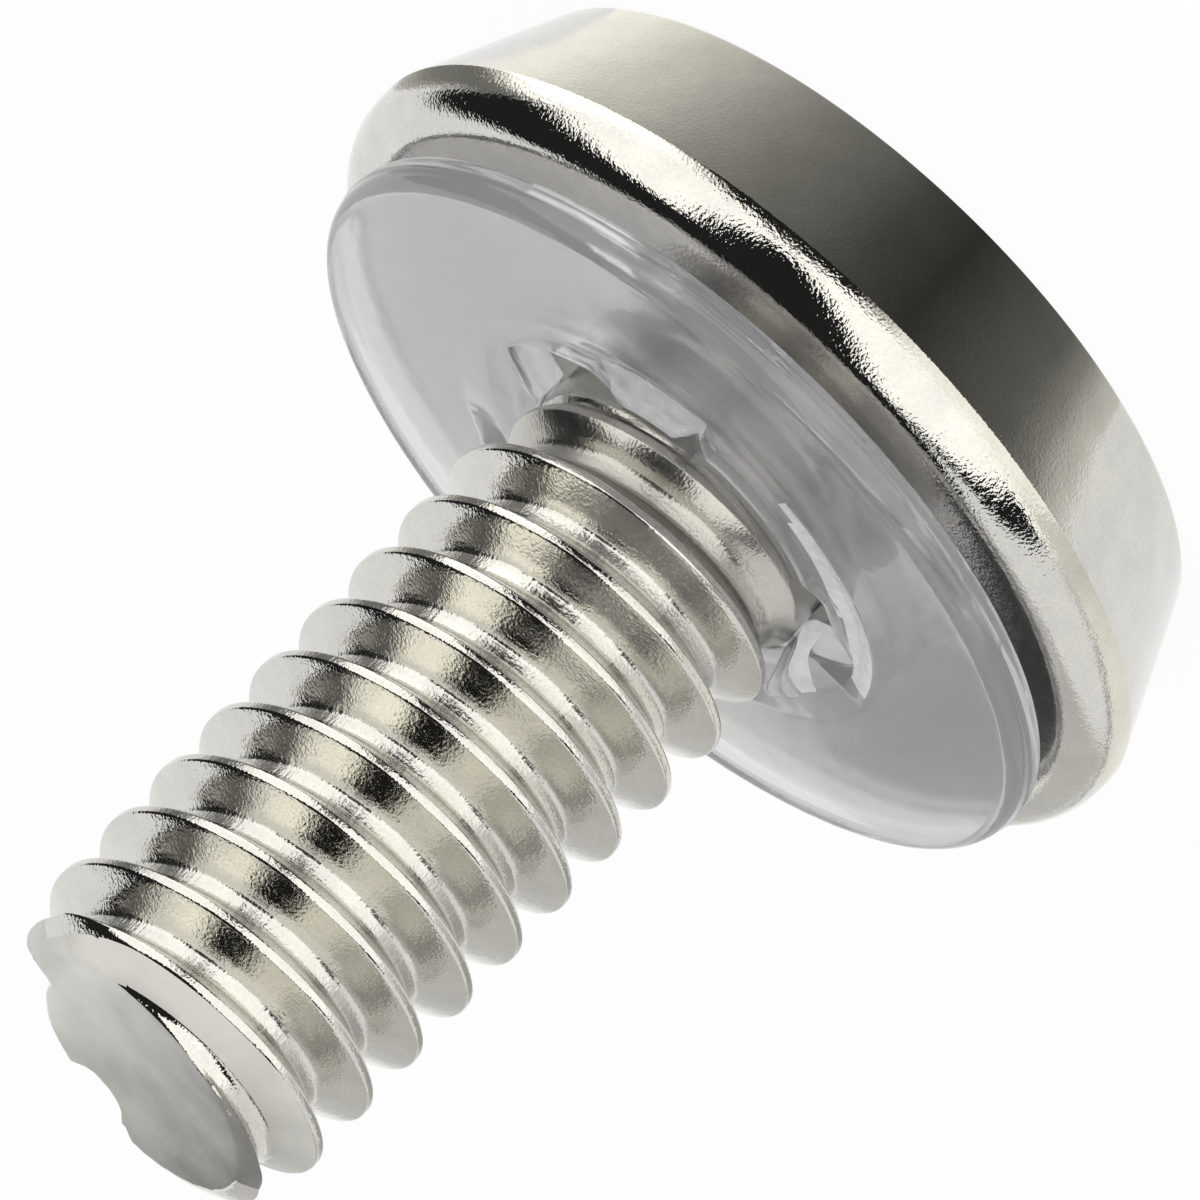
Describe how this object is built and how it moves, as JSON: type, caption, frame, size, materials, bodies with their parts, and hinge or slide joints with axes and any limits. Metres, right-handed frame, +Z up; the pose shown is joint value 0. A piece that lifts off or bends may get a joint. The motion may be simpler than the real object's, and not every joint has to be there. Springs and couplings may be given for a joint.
{
  "type": "server rack screw",
  "caption": "Nickel-plated rack screw with a broad tapered head, a cross recess, a rolled inch thread and a captive translucent plastic washer.",
  "frame": {"origin": "centre of the head's flat top, on which the screw stands", "axes": "+Z up along the screw's axis, from the head to the tip; -Y faces the viewer of the picture"},
  "size_m": [0.0138, 0.0138, 0.0155],
  "materials": {
    "nickel_plated_steel": "bright nickel plate",
    "translucent_plastic": "glossy translucent moulding"
  },
  "bodies": {
    "screw_body": {"screw": "nickel_plated_steel"},
    "washer_body": {"washer": "translucent_plastic"}
  },
  "joints": [
    {"name": "washer_spin", "type": "hinge", "parent": "screw_body", "child": "washer_body", "pos_m": [0, 0, 0.00377], "axis": [0, 0, 1], "continuous": true}
  ]
}
